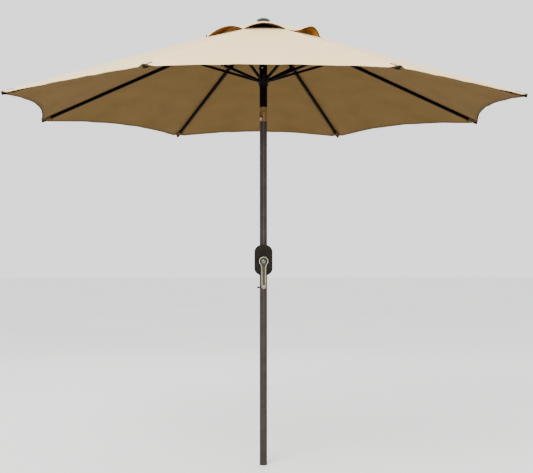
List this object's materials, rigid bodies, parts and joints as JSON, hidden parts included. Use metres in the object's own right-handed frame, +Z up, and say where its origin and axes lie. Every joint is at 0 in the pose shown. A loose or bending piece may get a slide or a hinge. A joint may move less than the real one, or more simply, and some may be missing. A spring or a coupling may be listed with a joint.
{
  "type": "patio umbrella",
  "caption": "Market umbrella with a two-piece pole, crank lift, push-button tilt and a vented eight-rib canopy that folds; its pole stands in a sleeve or stand",
  "frame": {"origin": "centre of the pole's lower end, where it stands in a stand or sleeve", "axes": "+Z up along the pole, -Y towards the crank, +X to the right seen from the crank's side"},
  "size_m": [2.4242, 2.4242, 2.2622],
  "materials": {
    "black_plastic": "matte",
    "bronze_steel": "satin",
    "black_steel": "satin",
    "black_nylon": "matte",
    "zinc_steel": "satin",
    "acetal": "satin",
    "champagne_metal": "satin",
    "knob_plastic": "gloss",
    "tan_casting": "satin",
    "grey_plastic": "satin",
    "lift_cord": "matte",
    "canopy_cloth": "matte"
  },
  "bodies": {
    "pole": {"foot_plug": "black_plastic", "lower_pole": "bronze_steel", "middle_pole": "bronze_steel", "housing_front": "black_plastic", "housing_back": "black_plastic", "housing_screws": "zinc_steel", "axle_bushes": "acetal", "clutch_spring": "zinc_steel", "tilt_base": "tan_casting", "tilt_pin": "zinc_steel", "tilt_spring": "zinc_steel", "lift_cord_lower": "lift_cord"},
    "joint_screw": {"joint_screw": "black_nylon"},
    "crank": {"crank_drum": "zinc_steel", "crank_handle": "champagne_metal", "knob_rivet": "zinc_steel"},
    "crank_knob": {"crank_knob": "knob_plastic"},
    "tilt_button": {"tilt_button": "zinc_steel"},
    "upper_pole": {"tilt_head": "tan_casting", "upper_pole": "black_steel", "pulley_axle": "zinc_steel", "lift_cord_upper": "lift_cord", "crown": "black_nylon", "crown_pins": "zinc_steel", "finial": "grey_plastic"},
    "pulley": {"pulley": "acetal"},
    "rib_1": {"rib_1": "black_steel", "rib_fittings_1": "black_nylon", "canopy_1": "canopy_cloth"},
    "rib_2": {"rib_2": "black_steel", "rib_fittings_2": "black_nylon", "canopy_2": "canopy_cloth"},
    "rib_3": {"rib_3": "black_steel", "rib_fittings_3": "black_nylon", "canopy_3": "canopy_cloth"},
    "rib_4": {"rib_4": "black_steel", "rib_fittings_4": "black_nylon", "canopy_4": "canopy_cloth"},
    "rib_5": {"rib_5": "black_steel", "rib_fittings_5": "black_nylon", "canopy_5": "canopy_cloth"},
    "rib_6": {"rib_6": "black_steel", "rib_fittings_6": "black_nylon", "canopy_6": "canopy_cloth"},
    "rib_7": {"rib_7": "black_steel", "rib_fittings_7": "black_nylon", "canopy_7": "canopy_cloth"},
    "rib_8": {"rib_8": "black_steel", "rib_fittings_8": "black_nylon", "canopy_8": "canopy_cloth"},
    "strut_1": {"strut_1": "black_steel"},
    "strut_2": {"strut_2": "black_steel"},
    "strut_3": {"strut_3": "black_steel"},
    "strut_4": {"strut_4": "black_steel"},
    "strut_5": {"strut_5": "black_steel"},
    "strut_6": {"strut_6": "black_steel"},
    "strut_7": {"strut_7": "black_steel"},
    "strut_8": {"strut_8": "black_steel"},
    "runner": {"runner": "black_nylon", "runner_pins": "zinc_steel"}
  },
  "joints": [
    {"name": "canopy_tilt", "type": "hinge", "parent": "pole", "child": "upper_pole", "pos_m": [0, 0, 1.766], "axis": [-0.7071, 0.7071, 0], "range_deg": [0, 32]},
    {"name": "canopy_fold", "type": "hinge", "parent": "upper_pole", "child": "rib_1", "pos_m": [0.02494, 0.01033, 2.203], "axis": [0.3827, -0.9239, 0], "range_deg": [-65.6, 0], "deforming": ["canopy_1", "lift_cord_upper"]},
    {"name": "rib_2_hinge", "type": "hinge", "parent": "upper_pole", "child": "rib_2", "pos_m": [0.01033, 0.02494, 2.203], "axis": [0.9239, -0.3827, 0], "range_deg": [-65.61, 0.01], "deforming": ["canopy_2"]},
    {"name": "rib_3_hinge", "type": "hinge", "parent": "upper_pole", "child": "rib_3", "pos_m": [-0.01033, 0.02494, 2.203], "axis": [0.9239, 0.3827, 0], "range_deg": [-65.61, 0.01], "deforming": ["canopy_3"]},
    {"name": "rib_4_hinge", "type": "hinge", "parent": "upper_pole", "child": "rib_4", "pos_m": [-0.02494, 0.01033, 2.203], "axis": [0.3827, 0.9239, 0], "range_deg": [-65.61, 0.01], "deforming": ["canopy_4"]},
    {"name": "rib_5_hinge", "type": "hinge", "parent": "upper_pole", "child": "rib_5", "pos_m": [-0.02494, -0.01033, 2.203], "axis": [-0.3827, 0.9239, 0], "range_deg": [-65.61, 0.01], "deforming": ["canopy_5"]},
    {"name": "rib_6_hinge", "type": "hinge", "parent": "upper_pole", "child": "rib_6", "pos_m": [-0.01033, -0.02494, 2.203], "axis": [-0.9239, 0.3827, 0], "range_deg": [-65.61, 0.01], "deforming": ["canopy_6"]},
    {"name": "rib_7_hinge", "type": "hinge", "parent": "upper_pole", "child": "rib_7", "pos_m": [0.01033, -0.02494, 2.203], "axis": [-0.9239, -0.3827, 0], "range_deg": [-65.61, 0.01], "deforming": ["canopy_7"]},
    {"name": "rib_8_hinge", "type": "hinge", "parent": "upper_pole", "child": "rib_8", "pos_m": [0.02494, -0.01033, 2.203], "axis": [-0.3827, -0.9239, 0], "range_deg": [-65.61, 0.01], "deforming": ["canopy_8"]},
    {"name": "strut_1_hinge", "type": "hinge", "parent": "rib_1", "child": "strut_1", "pos_m": [0.39138, 0.16212, 2.07106], "axis": [0.3827, -0.9239, 0], "range_deg": [-0.02, 131.22]},
    {"name": "strut_2_hinge", "type": "hinge", "parent": "rib_2", "child": "strut_2", "pos_m": [0.16212, 0.39138, 2.07106], "axis": [0.9239, -0.3827, 0], "range_deg": [-0.02, 131.22]},
    {"name": "strut_3_hinge", "type": "hinge", "parent": "rib_3", "child": "strut_3", "pos_m": [-0.16212, 0.39138, 2.07106], "axis": [0.9239, 0.3827, 0], "range_deg": [-0.02, 131.22]},
    {"name": "strut_4_hinge", "type": "hinge", "parent": "rib_4", "child": "strut_4", "pos_m": [-0.39138, 0.16212, 2.07106], "axis": [0.3827, 0.9239, 0], "range_deg": [-0.02, 131.22]},
    {"name": "strut_5_hinge", "type": "hinge", "parent": "rib_5", "child": "strut_5", "pos_m": [-0.39138, -0.16212, 2.07106], "axis": [-0.3827, 0.9239, 0], "range_deg": [-0.02, 131.22]},
    {"name": "strut_6_hinge", "type": "hinge", "parent": "rib_6", "child": "strut_6", "pos_m": [-0.16212, -0.39138, 2.07106], "axis": [-0.9239, 0.3827, 0], "range_deg": [-0.02, 131.22]},
    {"name": "strut_7_hinge", "type": "hinge", "parent": "rib_7", "child": "strut_7", "pos_m": [0.16212, -0.39138, 2.07106], "axis": [-0.9239, -0.3827, 0], "range_deg": [-0.02, 131.22]},
    {"name": "strut_8_hinge", "type": "hinge", "parent": "rib_8", "child": "strut_8", "pos_m": [0.39138, -0.16212, 2.07106], "axis": [-0.3827, -0.9239, 0], "range_deg": [-0.02, 131.22]},
    {"name": "runner_hinge", "type": "hinge", "parent": "strut_1", "child": "runner", "pos_m": [0.02494, 0.01033, 1.93912], "axis": [0.3827, -0.9239, 0], "range_deg": [-65.61, 0.01]},
    {"name": "crank_turn", "type": "hinge", "parent": "pole", "child": "crank", "pos_m": [0, 0, 1.023], "axis": [0, -1, 0], "range_deg": [-2881, 1]},
    {"name": "pulley_turn", "type": "hinge", "parent": "upper_pole", "child": "pulley", "pos_m": [-0.0065, 0, 2.003], "axis": [0, 1, 0], "range_deg": [-2126.33, 1]},
    {"name": "knob_spin", "type": "hinge", "parent": "crank", "child": "crank_knob", "pos_m": [0, -0.048, 0.896], "axis": [0, -1, 0], "continuous": true},
    {"name": "tilt_button_press", "type": "slide", "parent": "pole", "child": "tilt_button", "axis": [0.7071, 0.7071, 0], "range_m": [0, 0.002], "stiffness_N_per_m": 600, "springref_m": -0.001, "deforming": ["tilt_spring"]},
    {"name": "joint_screw_turn", "type": "hinge", "parent": "pole", "child": "joint_screw", "pos_m": [-0.01905, 0, 0.891], "axis": [-1, 0, 0], "range_deg": [0, 540]}
  ],
  "couplings": [
    {"joint": "rib_2_hinge", "follows": "canopy_fold", "ratio": 1},
    {"joint": "rib_3_hinge", "follows": "canopy_fold", "ratio": 1},
    {"joint": "rib_4_hinge", "follows": "canopy_fold", "ratio": 1},
    {"joint": "rib_5_hinge", "follows": "canopy_fold", "ratio": 1},
    {"joint": "rib_6_hinge", "follows": "canopy_fold", "ratio": 1},
    {"joint": "rib_7_hinge", "follows": "canopy_fold", "ratio": 1},
    {"joint": "rib_8_hinge", "follows": "canopy_fold", "ratio": 1},
    {"joint": "strut_1_hinge", "follows": "canopy_fold", "ratio": -2},
    {"joint": "strut_2_hinge", "follows": "canopy_fold", "ratio": -2},
    {"joint": "strut_3_hinge", "follows": "canopy_fold", "ratio": -2},
    {"joint": "strut_4_hinge", "follows": "canopy_fold", "ratio": -2},
    {"joint": "strut_5_hinge", "follows": "canopy_fold", "ratio": -2},
    {"joint": "strut_6_hinge", "follows": "canopy_fold", "ratio": -2},
    {"joint": "strut_7_hinge", "follows": "canopy_fold", "ratio": -2},
    {"joint": "strut_8_hinge", "follows": "canopy_fold", "ratio": -2},
    {"joint": "runner_hinge", "follows": "canopy_fold", "ratio": 1},
    {"joint": "crank_turn", "follows": "canopy_fold", "ratio": 43.902},
    {"joint": "pulley_turn", "follows": "canopy_fold", "ratio": 32.398}
  ]
}
